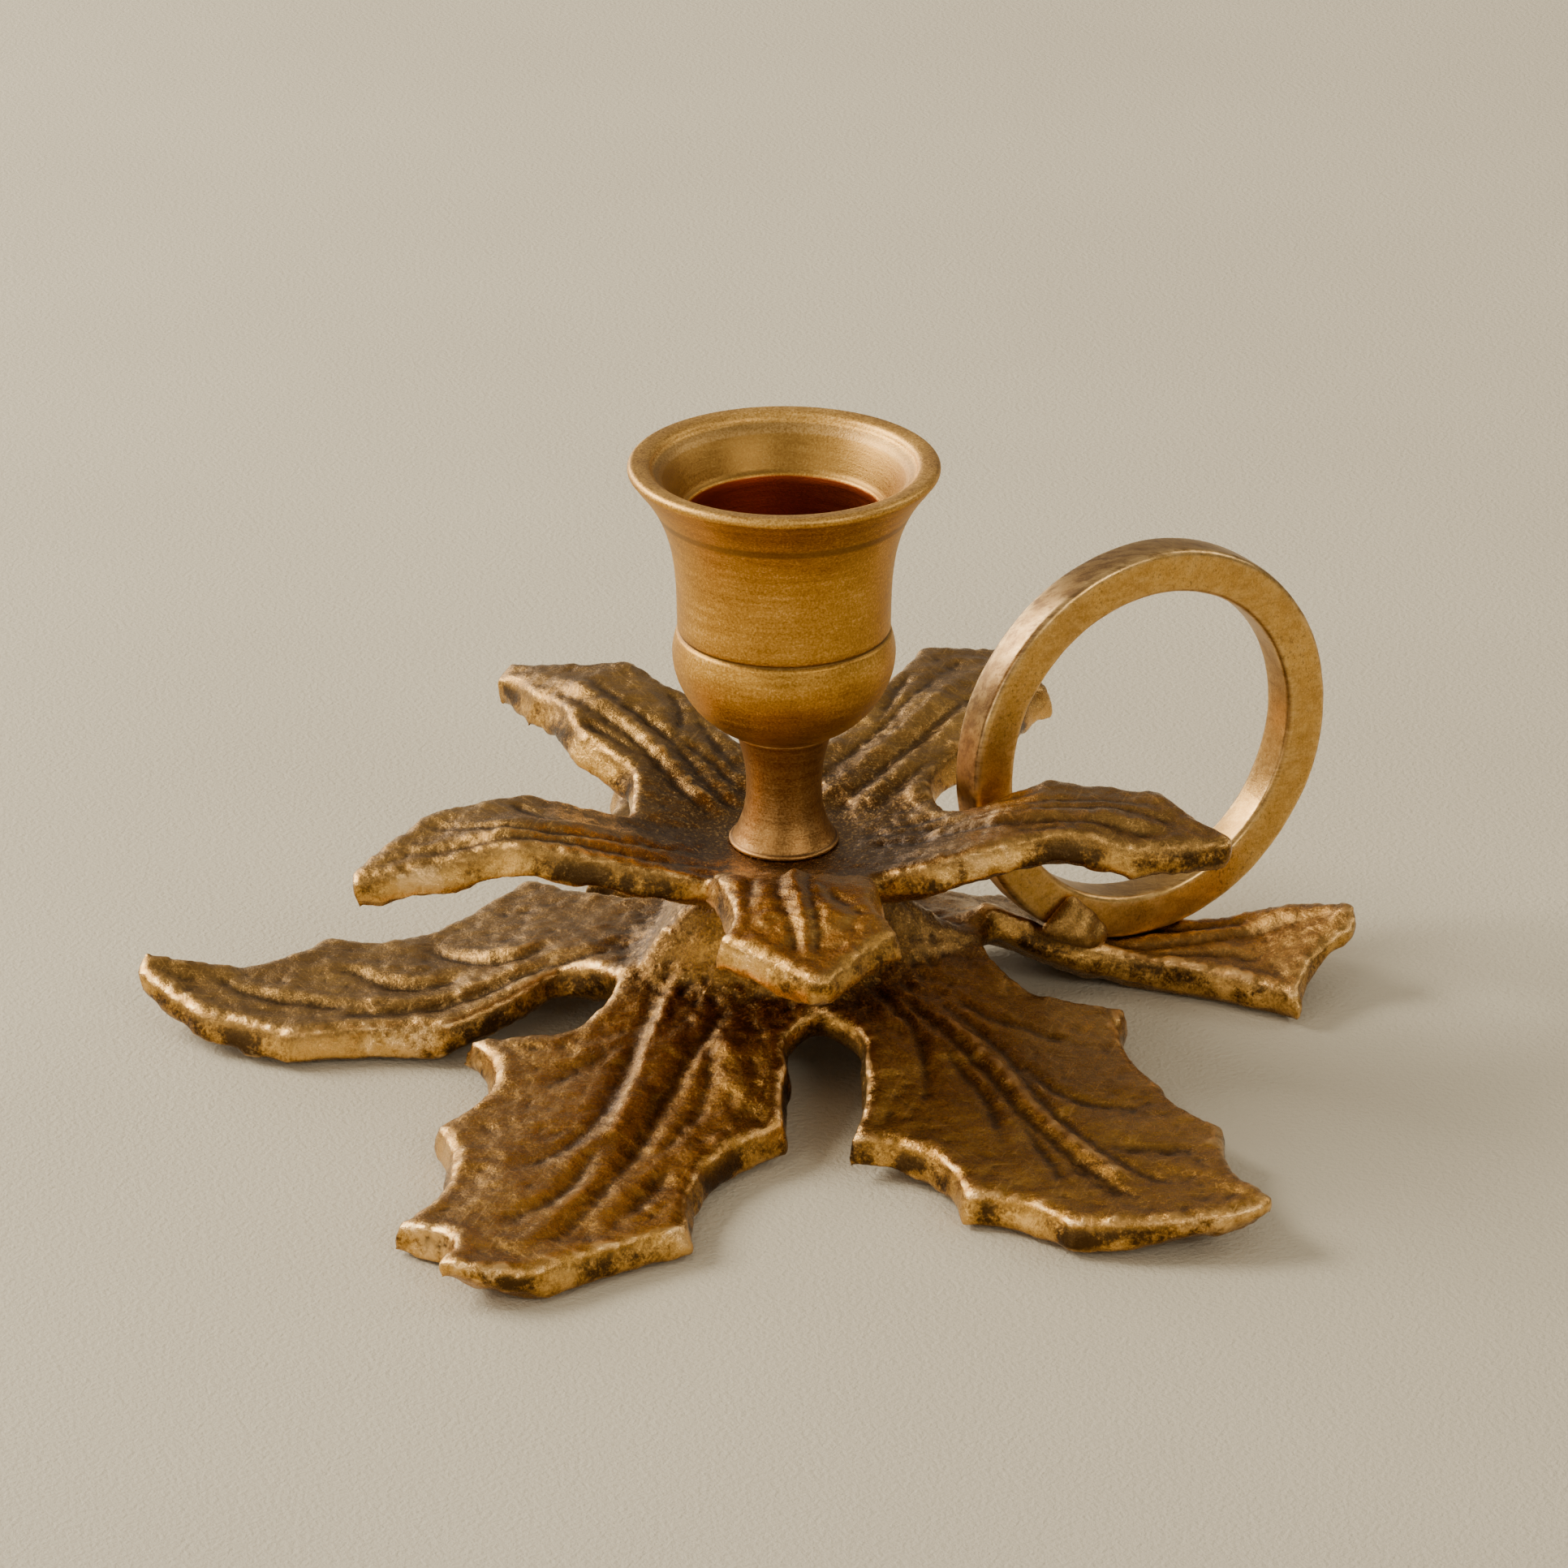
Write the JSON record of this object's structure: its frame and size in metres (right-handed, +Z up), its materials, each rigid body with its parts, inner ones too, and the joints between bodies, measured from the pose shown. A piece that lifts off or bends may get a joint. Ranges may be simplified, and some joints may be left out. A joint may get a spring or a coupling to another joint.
{
  "type": "candlestick",
  "caption": "Low brass chamberstick: a turned urn-shaped candle cup on two tiers of cast five-lobed leaves, with a round finger ring standing on one lobe.",
  "frame": {"origin": "on the candle cup's axis at table level, the centre of the footprint", "axes": "+Z up along the cup's axis, +X towards the finger ring"},
  "size_m": [0.1451, 0.1486, 0.0735],
  "materials": {
    "turned_brass": "satin, fine turning lines",
    "stem_brass": "satin, dark antique patina",
    "leaf_brass": "sand cast, dark antique patina with bright worn rims",
    "ring_brass": "brushed satin",
    "fixing_brass": "plain machined"
  },
  "bodies": {
    "root": {"candle_cup": "turned_brass", "cup_stem": "stem_brass", "upper_leaf": "leaf_brass", "lower_leaf": "leaf_brass", "ring_handle": "ring_brass", "ring_lug": "leaf_brass", "tie_rod": "fixing_brass", "washer": "fixing_brass", "nut": "fixing_brass"}
  },
  "joints": []
}
